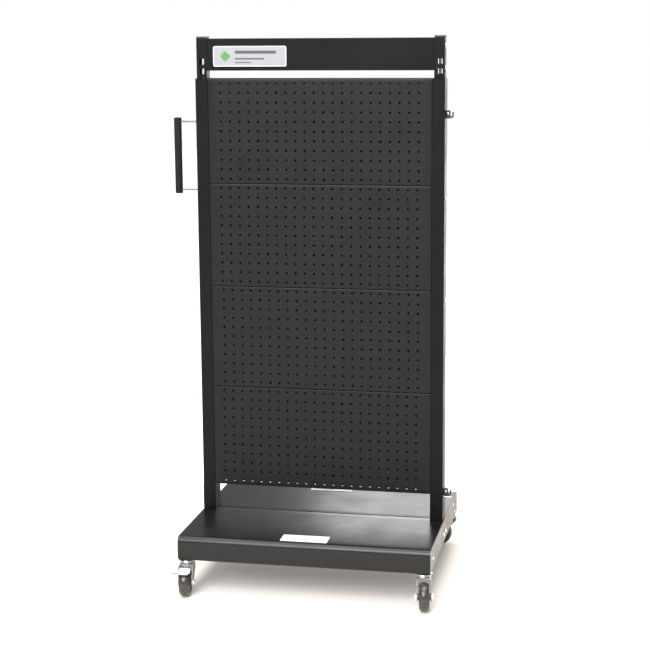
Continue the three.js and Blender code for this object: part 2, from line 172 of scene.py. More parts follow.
def add_lathe(bm, profile, segments, matrix=Matrix.Identity(4)):
    """Turns a closed-ended (radius, height) profile about Z, then places it with matrix."""
    rows = []
    for i in range(segments):
        turn = 2 * math.pi * i / segments
        rows.append([(r * math.cos(turn), r * math.sin(turn), h) for r, h in profile])
    rows.append(rows[0])
    made = [vert for loop in grid_faces(bm, rows) for vert in loop]
    bmesh.ops.transform(bm, matrix=matrix, verts=made)
    bmesh.ops.remove_doubles(bm, verts=made, dist=1e-4)


def arc(cx, cy, radius, start, end, steps):
    """Points on an arc, with start and end in degrees."""
    points = []
    for i in range(steps + 1):
        turn = math.radians(start + (end - start) * i / steps)
        points.append((cx + radius * math.cos(turn), cy + radius * math.sin(turn)))
    return points


def add_prism(bm, near, far):
    """A closed solid between two equal outlines, given as points."""
    near = [bm.verts.new(point) for point in near]
    far = [bm.verts.new(point) for point in far]
    bm.faces.new(near)
    bm.faces.new(tuple(reversed(far)))
    for i in range(len(near)):
        j = (i + 1) % len(near)
        bm.faces.new((near[i], near[j], far[j], far[i]))


def add_plate(bm, outline, x0, x1):
    """A flat (y, z) outline drawn out along X into a closed plate."""
    add_prism(bm, [(x0, y, z) for y, z in outline], [(x1, y, z) for y, z in outline])


def add_tube(bm, path, radius, segments=16):
    """A round bar along a path of points, with flat ends."""
    rings = []
    points = [Vector(point) for point in path]
    side = None
    for i, point in enumerate(points):
        before = points[max(i - 1, 0)]
        after = points[min(i + 1, len(points) - 1)]
        along = (after - before).normalized()
        if side is None:
            side = along.orthogonal().normalized()
        side = (side - along * side.dot(along)).normalized()
        up = along.cross(side)
        ring = []
        for k in range(segments):
            turn = 2 * math.pi * k / segments
            ring.append(point + (side * math.cos(turn) + up * math.sin(turn)) * radius)
        rings.append(ring)
    loops = grid_faces(bm, rings, closed=True)
    bm.faces.new(loops[0])
    bm.faces.new(tuple(reversed(loops[-1])))


def node_mm(name):
    lo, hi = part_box(name)
    return lo / MM, hi / MM


# Materials.

def new_tree(name, color, roughness, metallic=0.0):
    """A principled material, with its node tree and its shader."""
    material = bpy.data.materials.new(name)
    material.use_nodes = True
    tree = material.node_tree
    shader = tree.nodes["Principled BSDF"]
    shader.inputs["Base Color"].default_value = (*color, 1.0)
    shader.inputs["Roughness"].default_value = roughness
    shader.inputs["Metallic"].default_value = metallic
    return material, tree, shader


def make_node(tree, kind, inputs=None, **settings):
    node = tree.nodes.new(kind)
    for key, value in settings.items():
        setattr(node, key, value)
    for key, value in (inputs or {}).items():
        node.inputs[key].default_value = value
    return node


def noise_of(tree, scale, detail=2.0, stretch=(1.0, 1.0, 1.0)):
    """The socket of a noise in object space, with its scale in cycles a metre."""
    place = make_node(tree, "ShaderNodeTexCoord")
    spread = make_node(tree, "ShaderNodeMapping", {"Scale": stretch})
    tree.links.new(place.outputs["Object"], spread.inputs["Vector"])
    noise = make_node(tree, "ShaderNodeTexNoise", {"Scale": scale, "Detail": detail, "Roughness": 0.55})
    tree.links.new(spread.outputs["Vector"], noise.inputs["Vector"])
    return noise.outputs["Fac"]


def ramp(tree, socket, low, high, to_low, to_high):
    """Maps a socket's low..high to to_low..to_high, held at the ends."""
    node = make_node(
        tree, "ShaderNodeMapRange",
        {"From Min": low, "From Max": high, "To Min": to_low, "To Max": to_high},
    )
    tree.links.new(socket, node.inputs["Value"])
    return node.outputs["Result"]


def mix_color(tree, factor, first, second):
    """Mixes two colours or colour sockets by a factor socket."""
    node = make_node(tree, "ShaderNodeMix", data_type="RGBA")
    tree.links.new(factor, node.inputs["Factor"])
    for key, value in ((6, first), (7, second)):
        if isinstance(value, tuple):
            node.inputs[key].default_value = (*value, 1.0)
        else:
            tree.links.new(value, node.inputs[key])
    return node.outputs[2]


def times(tree, first, second):
    node = make_node(tree, "ShaderNodeMath", operation="MULTIPLY")
    tree.links.new(first, node.inputs[0])
    tree.links.new(second, node.inputs[1])
    return node.outputs[0]


def edge_mask(tree, radius):
    """1 on rounded-over edges and 0 on flats, from how a bevelled normal leaves the true one."""
    bevel = make_node(tree, "ShaderNodeBevel", {"Radius": radius}, samples=4)
    geometry = make_node(tree, "ShaderNodeNewGeometry")
    dot = make_node(tree, "ShaderNodeVectorMath", operation="DOT_PRODUCT")
    tree.links.new(bevel.outputs["Normal"], dot.inputs[0])
    tree.links.new(geometry.outputs["Normal"], dot.inputs[1])
    return ramp(tree, dot.outputs["Value"], 0.985, 0.88, 0.0, 1.0)


def upward_mask(tree):
    geometry = make_node(tree, "ShaderNodeNewGeometry")
    split = make_node(tree, "ShaderNodeSeparateXYZ")
    tree.links.new(geometry.outputs["Normal"], split.inputs["Vector"])
    return ramp(tree, split.outputs["Z"], 0.8, 1.0, 0.0, 1.0)


def add_bump(tree, shader, layers):
    """Stacks bump layers of (height socket, distance in metres, strength) on the shader's normal."""
    normal = None
    for height, distance, strength in layers:
        bump = make_node(tree, "ShaderNodeBump", {"Distance": distance, "Strength": strength})
        tree.links.new(height, bump.inputs["Height"])
        if normal is not None:
            tree.links.new(normal, bump.inputs["Normal"])
        normal = bump.outputs["Normal"]
    tree.links.new(normal, shader.inputs["Normal"])


def powder_coat(name, roughness, wave, specular, shade, painted_reflection_tint=(1.0, 1.0, 1.0), wear=0.55):
    """Black satin powder coat: orange peel, patchy sheen, rubbed edges and a little dust on top faces.

    wave is the height in metres of the slow unevenness, shade scales the colour and is set part by part as
    painted light and shade, the specular tint is a painted warm reflection, wear the rubbed edges.
    """
    material, tree, shader = new_tree(name, (0.012, 0.0113, 0.0118), roughness)
    patch = noise_of(tree, 5.0, 3.0)
    dark = tuple(channel * shade for channel in (0.0105, 0.0098, 0.0104))
    light = tuple(channel * shade for channel in (0.0145, 0.0136, 0.0142))
    base = mix_color(tree, patch, dark, light)
    rub_patch = ramp(tree, noise_of(tree, 70.0, 4.0), 0.48, 0.66, 0.0, wear)
    rub = times(tree, edge_mask(tree, 0.0009), rub_patch)
    rubbed = mix_color(tree, rub, base, (0.085, 0.082, 0.08))
    dust_patch = ramp(tree, noise_of(tree, 9.0, 1.0), 0.35, 0.8, 0.0, 0.02)
    dust = times(tree, upward_mask(tree), dust_patch)
    dusty = mix_color(tree, dust, rubbed, (0.32, 0.3, 0.27))
    tree.links.new(dusty, shader.inputs["Base Color"])
    sheen = ramp(tree, noise_of(tree, 9.0, 2.0), 0.3, 0.7, roughness - 0.05, roughness + 0.06)
    tree.links.new(sheen, shader.inputs["Roughness"])
    shader.inputs["Specular IOR Level"].default_value = specular
    shader.inputs["Specular Tint"].default_value = (*painted_reflection_tint, 1.0)
    add_bump(tree, shader, [
        (noise_of(tree, 4.5, 0.0), wave, 0.5),
        (noise_of(tree, 1100.0, 2.0), 0.00003, 0.15),
    ])
    return material


def plated(name, color, low, high):
    """Zinc plating with faint smears and pits; low and high are the ends of its roughness."""
    material, tree, shader = new_tree(name, color, (low + high) / 2, 1.0)
    smear = noise_of(tree, 55.0, 4.0, (1.0, 1.0, 0.35))
    duller = tuple(channel * 0.82 for channel in color)
    tree.links.new(mix_color(tree, smear, color, duller), shader.inputs["Base Color"])
    tree.links.new(ramp(tree, smear, 0.3, 0.7, low, high), shader.inputs["Roughness"])
    add_bump(tree, shader, [(noise_of(tree, 900.0, 3.0), 0.00002, 0.35)])
    return material


def moulded(name, color, roughness, grain, depth, specular=0.5):
    """Moulded rubber or plastic with slightly scuffed edges.

    grain is the scale of its fine grain in cycles a metre, and depth the grain's height in metres.
    """
    material, tree, shader = new_tree(name, color, roughness)
    patch = noise_of(tree, 40.0, 4.0)
    scuffed = tuple(min(channel * 1.9, 1.0) for channel in color)
    scuff = times(tree, edge_mask(tree, 0.0012), ramp(tree, patch, 0.4, 0.65, 0.0, 0.6))
    base = mix_color(tree, patch, color, tuple(channel * 1.25 for channel in color))
    tree.links.new(mix_color(tree, scuff, base, scuffed), shader.inputs["Base Color"])
    shader.inputs["Specular IOR Level"].default_value = specular
    sheen = ramp(tree, patch, 0.3, 0.7, roughness - 0.06, roughness + 0.07)
    tree.links.new(sheen, shader.inputs["Roughness"])
    add_bump(tree, shader, [(noise_of(tree, grain, 2.0), depth, 0.6)])
    return material


def printed(name, color, roughness, metallic=0.0):
    """A flat printed or brushed surface with a fine directional grain."""
    material, tree, shader = new_tree(name, color, roughness, metallic)
    grain = noise_of(tree, 420.0, 3.0, (0.12, 1.0, 1.0))
    darker = tuple(channel * 0.93 for channel in color)
    tree.links.new(mix_color(tree, grain, color, darker), shader.inputs["Base Color"])
    sheen = ramp(tree, grain, 0.3, 0.7, roughness - 0.05, roughness + 0.05)
    tree.links.new(sheen, shader.inputs["Roughness"])
    add_bump(tree, shader, [(grain, 0.00002, 0.3)])
    return material


# One black powder coat in four copies: their colour scale and specular level are set part by part to give
# each part its tone under these lamps, which is painted light and shade. The base copy's brighter colour,
# strong specular and warm specular tint are a painted warm reflection of the floor on the base sides.
PANEL_PAINT = powder_coat("panel_powder_coat", roughness=0.42, wave=0.0006, specular=0.21, shade=0.36)
FRAME_PAINT = powder_coat("frame_powder_coat", roughness=0.38, wave=0.0003, specular=0.12, shade=0.28)
BASE_PAINT_PAINTED_REFLECTION = powder_coat(
    "base_powder_coat_painted_reflection", roughness=0.3, wave=0.0003, specular=0.6, shade=1.0, painted_reflection_tint=(1.0, 0.92, 0.74),
)
DECK_PAINT = powder_coat(
    "deck_powder_coat", roughness=0.3, wave=0.0005, specular=0.36, shade=0.3, wear=0.04,
)
ZINC = plated("bright_zinc", (0.82, 0.83, 0.85), 0.14, 0.27)
DULL_ZINC = plated("dull_zinc", (0.66, 0.67, 0.69), 0.26, 0.4)
# The fork's zinc is the bright zinc darkened to about half and warmed: painted shade on the fork plate.
FORK_ZINC_PAINTED_SHADE = plated("fork_zinc_painted_shade", (0.46, 0.44, 0.42), 0.2, 0.34)
# The handle bar's zinc is darker, at a fifth of the bright zinc's colour.
DARK_ZINC = plated("dark_handle_zinc", (0.16, 0.16, 0.17), 0.3, 0.44)
TREAD = moulded("wheel_tread", (0.03, 0.028, 0.026), 0.24, 700.0, 0.00002)
HUB = moulded("wheel_hub", (0.03, 0.029, 0.028), 0.48, 900.0, 0.00003)
GRIP = moulded("grip_foam", (0.007, 0.007, 0.008), 0.74, 1300.0, 0.00012, 0.16)
PLASTIC = moulded("black_plastic_grain", (0.015, 0.015, 0.0155), 0.5, 1000.0, 0.00005)
SILVER = printed("badge_silver_face", (0.25, 0.25, 0.262), 0.5, 0.1)
SILVER_EDGE = printed("badge_silver_edge", (0.5, 0.5, 0.52), 0.4, 0.3)
BADGE_GREEN = printed("badge_green_print", (0.06, 0.19, 0.035), 0.5)
DARK_PRINT = printed("dark_print", (0.05, 0.05, 0.055), 0.5)
GREY_PRINT = printed("grey_print", (0.22, 0.22, 0.23), 0.6)
PAPER = printed("label_paper", (0.86, 0.86, 0.84), 0.58)


def repaint(node, material):
    """Gives a CAD node one of the materials above."""
    for slot in frame["nodes"][node].material_slots:
        slot.link = "OBJECT"
        slot.material = material


# Pegboard panels.

def ring_of_rectangle(x0, x1, z0, z1):
    """Points round a rectangle, HOLE_POINTS // 4 to a side, from its lower left corner, anticlockwise."""
    per_side = HOLE_POINTS // 4
    corners = [(x0, z0), (x1, z0), (x1, z1), (x0, z1)]
    points = []
    for (ax, az), (bx, bz) in zip(corners, corners[1:] + corners[:1]):
        for i in range(per_side):
            t = i / per_side
            points.append((ax + (bx - ax) * t, az + (bz - az) * t))
    return points


def hole_ring(x, z):
    """Points round one hole, in step with ring_of_rectangle."""
    start = math.radians(-135)
    step = 2 * math.pi / HOLE_POINTS
    return [(x + HOLE_R * math.cos(start + i * step), z + HOLE_R * math.sin(start + i * step))
            for i in range(HOLE_POINTS)]


def cell_edges(centres, low, high):
    """Boundaries half way between hole centres, with the outer ones at the ends of the flat."""
    inner = [(a + b) / 2 for a, b in zip(centres, centres[1:])]
    return [low, *inner, high]


def peg_panel(node, index, rear):
    """A folded panel with its 22 by 11 holes; the rear ones are the same part turned round."""
    lo, hi = node_mm(node)
    half = (hi.x - lo.x) / 2
    middle = (hi.x + lo.x) / 2
    shift_x, shift_z = PATTERN_SHIFT[index]
    bend = PANEL_BEND
    columns = [(c - (HOLE_COLUMNS - 1) / 2) * PITCH + shift_x for c in range(HOLE_COLUMNS)]
    rows = [hi.z - FIRST_ROW_DROP - PITCH * r + shift_z for r in reversed(range(HOLE_ROWS))]
    x_edges = cell_edges(columns, -half + bend, half - bend)
    z_edges = cell_edges(rows, lo.z + bend, hi.z - bend)

    bm = bmesh.new()
    for row, z in enumerate(rows):
        for column, x in enumerate(columns):
            inner = hole_ring(x, z)
            outer = ring_of_rectangle(x_edges[column], x_edges[column + 1], z_edges[row], z_edges[row + 1])
            grid_faces(bm, [[(px, 0.0, pz) for px, pz in ring] for ring in (inner, outer)], closed=True)

    # The rim: every edge point of the flat swept through the bend and back along the flange.
    per_side = HOLE_POINTS // 4
    across = [a + (b - a) * k / per_side for a, b in zip(x_edges, x_edges[1:]) for k in range(per_side)]
    upward = [a + (b - a) * k / per_side for a, b in zip(z_edges, z_edges[1:]) for k in range(per_side)]
    x0, x1, z0, z1 = x_edges[0], x_edges[-1], z_edges[0], z_edges[-1]
    sides = [
        ([(x, z0) for x in [*across, x1]], -90),
        ([(x1, z) for z in [*upward, z1]], 0),
        ([(x, z1) for x in reversed([*across, x1])], 90),
        ([(x0, z) for z in reversed([*upward, z1])], 180),
    ]
    rim = []
    for points, facing in sides:
        rim += [(x, z, facing) for x, z in points]
        corner_x, corner_z = points[-1]
        rim += [(corner_x, corner_z, facing + step) for step in (30, 60)]
    profile = []
    for angle in (0, 30, 60, 90):
        turn = math.radians(angle)
        profile.append((bend * math.sin(turn), bend * (1 - math.cos(turn))))
    profile.append((bend, PANEL_FLANGE))
    loops = []
    for out, back in profile:
        loop = []
        for x, z, angle in rim:
            turn = math.radians(angle)
            loop.append((x + out * math.cos(turn), back, z + out * math.sin(turn)))
        loops.append(loop)
    grid_faces(bm, loops, closed=True)
    bmesh.ops.remove_doubles(bm, verts=bm.verts, dist=1e-3)

    face_y = hi.y if rear else lo.y
    turn = Matrix.Rotation(math.pi if rear else 0.0, 4, "Z")
    bmesh.ops.transform(bm, matrix=Matrix.Translation((middle, face_y, 0)) @ turn, verts=bm.verts)
    name = node.replace("peg_panel", "pegboard")
    piece = finish_mesh(name, bm, PANEL_PAINT, "stand", (node,), 28.0)
    add_thickness(piece, SHEET)


# Decks, header and the plates on them.

def deck(node, rear):
    """A folded deck: top, bullnose, skirt with a return lip, and a flange down at the centre line."""
    lo, hi = node_mm(node)
    top = hi.z
    bottom = lo.z
    front = -max(abs(lo.y), abs(hi.y))
    back = -min(abs(lo.y), abs(hi.y))
    nose_y = front + BULLNOSE
    nose_z = top - BULLNOSE
    bend = DECK_BEND
    section = [(back, top - DECK_FLANGE), (back, top - bend)]
    section += arc(back - bend, top - bend, bend, 0, 90, 3)[1:]
    socket_lo, socket_hi = node_mm("post_socket_right")
    clear = socket_hi.y + NOTCH_PLAY
    section += [(-clear, top)]
    split = len(section) - 1
    section += [(y, top) for y in (-70.0, -130.0, -190.0, -240.0)]
    section += arc(nose_y, nose_z, BULLNOSE, 90, 180, 16)
    section += [(front, bottom + bend)]
    section += arc(front + bend, bottom + bend, bend, 180, 270, 3)[1:]
    section += [(front + SKIRT_LIP, bottom)]
    middle = (hi.x + lo.x) / 2
    edge = (hi.x - lo.x) / 2
    inner = socket_lo.x - middle - NOTCH_PLAY
    stations = [-edge, -inner, -inner / 2, 0.0, inner / 2, inner, edge]

    bm = bmesh.new()
    for a, b in zip(stations, stations[1:]):
        outside = abs(a + b) / 2 > inner
        profile = section[split:] if outside else section
        grid_faces(bm, [[(x, y, z) for y, z in profile] for x in (a, b)])
    bmesh.ops.remove_doubles(bm, verts=bm.verts, dist=1e-3)
    turn = Matrix.Rotation(math.pi if rear else 0.0, 4, "Z")
    bmesh.ops.transform(bm, matrix=Matrix.Translation((middle, 0, 0)) @ turn, verts=bm.verts)
    bmesh.ops.recalc_face_normals(bm, faces=bm.faces)
    upwards = max(bm.faces, key=lambda face: face.calc_center_median().z)
    if upwards.normal.z < 0:
        bmesh.ops.reverse_faces(bm, faces=bm.faces)
    return bm


def build_decks():
    for side in ("front", "rear"):
        node = f"deck_{side}"
        bm = deck(node, side == "rear")
        piece = finish_mesh(f"base_{node}", bm, DECK_PAINT, "stand", (node,), 32.0)
        add_thickness(piece, SHEET)


def rounded_outline(x0, x1, z0, z1, radius, steps=6):
    points = []
    corners = [(x1 - radius, z0 + radius, -90), (x1 - radius, z1 - radius, 0),
               (x0 + radius, z1 - radius, 90), (x0 + radius, z0 + radius, 180)]
    for cx, cz, start in corners:
        points += arc(cx, cz, radius, start, start + 90, steps)
    return points


def slab_y(name, outline, y0, y1, material, replaced=(), bevel=0.0, segments=2):
    """An (x, z) outline between two y planes, on the stand."""
    bm = bmesh.new()
    add_prism(bm, [(x, y0, z) for x, z in outline], [(x, y1, z) for x, z in outline])
    piece = finish_mesh(name, bm, material, "stand", replaced)
    if bevel:
        add_bevel(piece, bevel, segments)


def slab_z(name, outline, z0, z1, material, replaced=()):
    """An (x, y) outline between two heights, on the stand."""
    bm = bmesh.new()
    add_prism(bm, [(x, y, z0) for x, y in outline], [(x, y, z1) for x, y in outline])
    finish_mesh(name, bm, material, "stand", replaced)


def header_and_badge():
    lo, hi = node_mm("header_panel")
    outline = rounded_outline(lo.x, hi.x, lo.z, hi.z, 1.5, 3)
    slab_y("header_box", outline, lo.y, hi.y, FRAME_PAINT, ("header_panel",), 1.4)

    lo, hi = node_mm("header_badge")
    border = rounded_outline(lo.x, hi.x, lo.z, hi.z, 5.0)
    slab_y("badge_plate", border, lo.y, hi.y, SILVER_EDGE, ("header_badge",), 0.35)
    inset = BADGE_INSET
    face = rounded_outline(lo.x + inset, hi.x - inset, lo.z + inset, hi.z - inset, 3.2)
    slab_y("badge_face", face, lo.y - 0.12, lo.y + 0.2, SILVER)

    # A plain diamond and bars: they stand for a mark without being one.
    height = hi.z - lo.z
    middle_z = (hi.z + lo.z) / 2
    sign_x = lo.x + height * 0.62
    size = height * 0.27
    diamond = [
        (sign_x - size, middle_z), (sign_x, middle_z - size),
        (sign_x + size, middle_z), (sign_x, middle_z + size),
    ]
    slab_y("badge_diamond", diamond, lo.y - PRINT_PROUD, lo.y, BADGE_GREEN)
    # Each bar: where it starts and ends across the badge, how far up from the middle, and its height.
    bars = ((0.30, 0.86, 0.20, 8.0), (0.30, 0.70, -0.12, 4.0), (0.30, 0.52, -0.3, 2.6))
    for i, (start, end, rise, tall) in enumerate(bars):
        z = middle_z + height * rise
        x0 = lo.x + (hi.x - lo.x) * start
        x1 = lo.x + (hi.x - lo.x) * end
        bar = rounded_outline(x0, x1, z - tall / 2, z + tall / 2, tall * 0.3, 3)
        slab_y(f"badge_bar_{i + 1}", bar, lo.y - PRINT_PROUD, lo.y, DARK_PRINT)


def deck_labels():
    for side in ("front", "rear"):
        node = f"deck_label_{side}"
        lo, hi = node_mm(node)
        outline = rounded_outline(lo.x, hi.x, lo.y, hi.y, 1.5, 3)
        slab_z(f"paper_{node}", outline, lo.z - 0.2, hi.z, PAPER, (node,))
        # Each line of print: where it starts and ends across the label.
        for i, (start, end) in enumerate(((0.08, 0.72), (0.08, 0.9), (0.08, 0.55))):
            x0 = lo.x + (hi.x - lo.x) * start
            x1 = lo.x + (hi.x - lo.x) * end
            y = lo.y + (hi.y - lo.y) * (0.74 - 0.24 * i)
            bar = rounded_outline(x0, x1, y - 2.2, y + 2.2, 0.6, 2)
            slab_z(f"{node}_bar_{i + 1}", bar, hi.z - 0.05, hi.z + 0.06, GREY_PRINT)


# Fasteners.

def dome_head(radius, height):
    """Half profile of a pan head: washer face, dome and a shallow socket."""
    profile = [(0.0, 0.0), (radius, 0.0), (radius, height * 0.25)]
    for i in range(1, 6):
        turn = math.radians(90 * i / 6)
        profile.append((radius * math.cos(turn) * 0.98 + 0.02, height * (0.25 + 0.75 * math.sin(turn))))
    profile += [(radius * 0.34, height * 0.985), (radius * 0.3, height * 0.55), (0.0, height * 0.5)]
    return profile


def turned_along_x(x, y, z, sign):
    """Places a Z profile so that it points out along X from (x, y, z)."""
    return Matrix.Translation((x, y, z)) @ Matrix.Rotation(sign * math.pi / 2, 4, "Y")


def screw_on_side(name, seat_x, y, z, sign, radius, height, replaced=(), shank=9.0, shank_radius=2.0):
    bm = bmesh.new()
    add_lathe(bm, dome_head(radius, height), 32, turned_along_x(seat_x, y, z, sign))
    profile = [(0.0, 0.0), (shank_radius, 0.0), (shank_radius, -shank), (0.0, -shank)]
    add_lathe(bm, profile, 20, turned_along_x(seat_x, y, z, sign))
    finish_mesh(name, bm, ZINC, "stand", replaced)


def fasteners():
    # Each kind: head radius, head height and shank radius.
    kinds = (("header_bolt", 5.6, 4.0, 3.0), ("sleeve_screw", 5.0, 3.6, 2.0), ("base_bolt", 6.0, 3.8, 2.0))
    for side, sign in (("left", -1), ("right", 1)):
        for kind, radius, height, shank_radius in kinds:
            for i in (1, 2):
                node = f"{kind}_{side}_{i}"
                lo, hi = node_mm(node)
                outer = hi.x if sign > 0 else lo.x
                y = (lo.y + hi.y) / 2
                z = (lo.z + hi.z) / 2
                shank = (hi.x - lo.x) - height
                seat = outer - sign * height
                name = f"screw_{node}"
                screw_on_side(name, seat, y, z, sign, radius, height, (node,), shank, shank_radius)
    lo, hi = node_mm("base_side_right")
    # Rivets on the right base side, at a y and a share of its height.
    for i, (y, up) in enumerate(((-232.0, 0.43), (191.0, 0.75), (225.0, 0.27))):
        z = lo.z + (hi.z - lo.z) * up
        screw_on_side(f"base_rivet_{i + 1}", hi.x, y, z, 1, 4.4, 2.6, shank=1.6)


# Handle and side hooks.

def handle():
    rod_lo, rod_hi = node_mm("handle_rod")
    grip_lo, grip_hi = node_mm("handle_grip")
    x = (grip_lo.x + grip_hi.x) / 2
    top = rod_hi.z - BAR_R
    bottom = rod_lo.z + BAR_R
    bend = BAR_BEND
    end = rod_hi.x
    path = [(end, 0.0, top), (x + bend + BAR_STRAIGHT, 0.0, top)]
    path += [(px, 0.0, pz) for px, pz in arc(x + bend, top - bend, bend, 90, 180, 6)]
    path += [(px, 0.0, pz) for px, pz in arc(x + bend, bottom + bend, bend, 180, 270, 6)]
    path += [(x + bend + BAR_STRAIGHT, 0.0, bottom), (end, 0.0, bottom)]
    bm = bmesh.new()
    add_tube(bm, path, BAR_R, 20)
    finish_mesh("handle_bar", bm, DARK_ZINC, "stand", ("handle_rod",), 50.0)

    inner_r = (grip_hi.x - grip_lo.x) / 2 - GRIP_EDGE
    profile = [(0.0, grip_lo.z)]
    profile += arc(inner_r, grip_lo.z + GRIP_EDGE, GRIP_EDGE, -90, 0, 5)
    profile += arc(inner_r, grip_hi.z - GRIP_EDGE, GRIP_EDGE, 0, 90, 5)
    profile += [(0.0, grip_hi.z)]
    bm = bmesh.new()
    add_lathe(bm, profile, 48, Matrix.Translation((x, 0, 0)))
    finish_mesh("handle_grip_sleeve", bm, GRIP, "stand", ("handle_grip",), 40.0)


def side_hook(node):
    """A moulded block on the right side with an upturned tip and a screw; the lower one has a pin too."""
    lo, hi = node_mm(node)
    base = lo.x
    tip = hi.x
    z0, z1 = lo.z, hi.z
    outline = [
        (base, z0), (base + 9.5, z0), (tip - 2, z0 + 2.2), (tip, z0 + 4.5), (tip, z1 - 4.0),
        (tip - 3, z1 - 4.0), (tip - 3, z0 + 6.5), (base + 11, z0 + 6.5), (base + 11, z1 - 2.0),
        (base + 9, z1), (base, z1),
    ]
    slab_y(f"{node}_block", outline, lo.y, hi.y, PLASTIC, (node,), 1.2, 3)
    middle = (z0 + z1) / 2
    bm = bmesh.new()
    place = Matrix.Translation((base + 5.5, lo.y, middle + 3)) @ Matrix.Rotation(math.pi / 2, 4, "X")
    add_lathe(bm, dome_head(3.2, 1.8), 28, place)
    finish_mesh(f"{node}_screw", bm, ZINC, "stand")
    if node == "side_hook_lower":
        bm = bmesh.new()
        pin_y = lo.y - 2.0
        pin_z = z0 - 1.0
        add_tube(bm, [(base + 0.5, pin_y, pin_z), (tip + 1.0, pin_y, pin_z)], 1.6, 16)
        finish_mesh(f"{node}_pin", bm, ZINC, "stand", sharp=50.0)


# Casters.

def caster_frame(corner):
    """What places local caster millimetres, wheel trailing towards -Y, in the unit, and the swivel."""
    joints = {joint["name"]: joint for joint in frame["joints"]}
    swivel = Vector(joints[f"swivel_{corner}"]["pos_m"]) / MM
    axle = Vector(joints[f"roll_{corner}"]["pos_m"]) / MM
    away = axle - swivel
    yaw = math.atan2(away.x, -away.y)
    return Matrix.Translation((swivel.x, swivel.y, 0)) @ Matrix.Rotation(yaw, 4, "Z"), swivel


def leg_span(z):
    """Front and back edge of a fork leg at a height."""
    low = WHEEL_R - LEG_END_R
    if z < LEG_FRONT_Z:
        reach = math.sqrt(max(LEG_END_R ** 2 - (z - WHEEL_R) ** 2, 0.0))
        front = -TRAIL - reach
    else:
        front = -40.6 + (z - LEG_FRONT_Z) * (15.6 / 44)
    if z < LEG_BACK_Z:
        back = -TRAIL + math.sqrt(max(LEG_END_R ** 2 - (max(z, low) - WHEEL_R) ** 2, 0.0))
    else:
        back = min(-20.2 + 1.0054 * (z - LEG_BACK_Z), 17.0)
    return front, back


def caster_fork(corner, place):
    """One pressed U of plate: two tapering legs and a crown, with a race pressed up in its middle."""
    bend = FORK_BEND
    crown = CROWN_Z - FORK_SHEET / 2
    heights = [27.0, 27.6, 29.0, 31.0, 33.0, 36.0, 39.0, 42.0, 50.0, 58.0, 66.0, 72.0, 75.5, crown - bend]
    spine = [(FORK_MID, z) for z in heights]
    spine += arc(FORK_MID - bend, crown - bend, bend, 0, 90, 6)[1:]
    spine += [(6.0, crown), (0.0, crown)]
    spine += [(-x, z) for x, z in reversed(spine[:-1])]
    bm = bmesh.new()
    steps = 6
    rows = []
    for x, z in spine:
        front, back = leg_span(z)
        rows.append([(x, front + (back - front) * i / steps, z) for i in range(steps + 1)])
    grid_faces(bm, rows)
    bmesh.ops.remove_doubles(bm, verts=bm.verts, dist=1e-3)
    bmesh.ops.transform(bm, matrix=place, verts=bm.verts)
    body = f"swivel_{corner}"
    replaced = (f"caster_fork_{corner}",)
    # The fork plate takes the zinc darkened as painted shade.
    piece = finish_mesh(f"fork_plate_{corner}", bm, FORK_ZINC_PAINTED_SHADE, body, replaced, 40.0)
    add_thickness(piece, FORK_SHEET, 0.0, 40.0, 0.5)
    bm = bmesh.new()
    race = [(0.0, CROWN_Z - 0.6), (19.0, CROWN_Z - 0.6), (20.2, CROWN_Z + 0.4), (20.5, CROWN_Z + 1.5),
            (19.8, CROWN_Z + 2.6), (18.5, CROWN_Z + 3.1), (0.0, CROWN_Z + 3.1)]
    add_lathe(bm, race, 56, place)
    finish_mesh(f"fork_race_{corner}", bm, DULL_ZINC, body)


def caster_head(corner, swivel):
    """The pressed cup over the ball race, its boss, and the nut on the stem over the flange."""
    node = f"caster_head_{corner}"
    top = node_mm(node)[1].z
    profile = [(0.0, CROWN_Z + 3.5), (18.0, CROWN_Z + 3.5), (21.6, CROWN_Z + 3.9), (22.7, CROWN_Z + 4.7),
               (22.8, CROWN_Z + 5.6), (22.2, CROWN_Z + 6.9), (20.6, CROWN_Z + 7.8), (15.0, CROWN_Z + 8.5),
               (9.5, CROWN_Z + 8.9), (9.5, FLANGE_Z - 0.3), (5.0, FLANGE_Z - 0.3), (5.0, top), (0.0, top)]
    nut = [(5.0, FLANGE_Z + 2.3), (9.0, FLANGE_Z + 2.3), (9.0, FLANGE_Z + 7.2), (8.2, FLANGE_Z + 8.0),
           (5.0, FLANGE_Z + 8.0)]
    stem = Matrix.Translation((swivel.x, swivel.y, 0))
    bm = bmesh.new()
    add_lathe(bm, profile, 56, stem)
    add_lathe(bm, nut, 6, stem)
    finish_mesh(f"race_cup_{corner}", bm, ZINC, "stand", (node,), 30.0)


def caster_wheel(corner, place):
    """A one-piece wheel: rounded tread, recessed webs with a rim step, and hub faces."""
    half = [(4.1, 16.5), (8.2, 16.5), (9.0, 15.9), (9.6, 12.2), (11.0, 11.5), (26.5, 11.5), (28.6, 12.0),
            (29.6, TREAD_HALF), (33.2, TREAD_HALF)]
    for angle in (62, 50, 38, 26, 13, 0):
        turn = math.radians(angle)
        rim = WHEEL_R - TREAD_EDGE_R + TREAD_EDGE_R * math.cos(turn)
        half.append((rim, TREAD_HALF * math.sin(turn) ** 0.72))
    profile = half + [(r, -w) for r, w in reversed(half[:-1])]
    profile.append(profile[0])
    bm = bmesh.new()
    wheel_place = place @ Matrix.Translation((0, -TRAIL, WHEEL_R)) @ Matrix.Rotation(math.pi / 2, 4, "Y")
    add_lathe(bm, profile, 72, wheel_place)
    body = f"wheel_{corner}"
    replaced = (f"caster_wheel_{corner}",)
    piece = finish_mesh(f"wheel_{corner}_tyre", bm, TREAD, body, replaced, 32.0)
    piece.data.materials.append(HUB)
    centre = (place @ Vector((0, -TRAIL, WHEEL_R))) * MM
    axis = (place.to_3x3() @ Vector((1, 0, 0))).normalized()
    for polygon in piece.data.polygons:
        offset = polygon.center - centre
        out = (offset - axis * offset.dot(axis)).length / MM
        polygon.material_index = 1 if out < 28.5 else 0


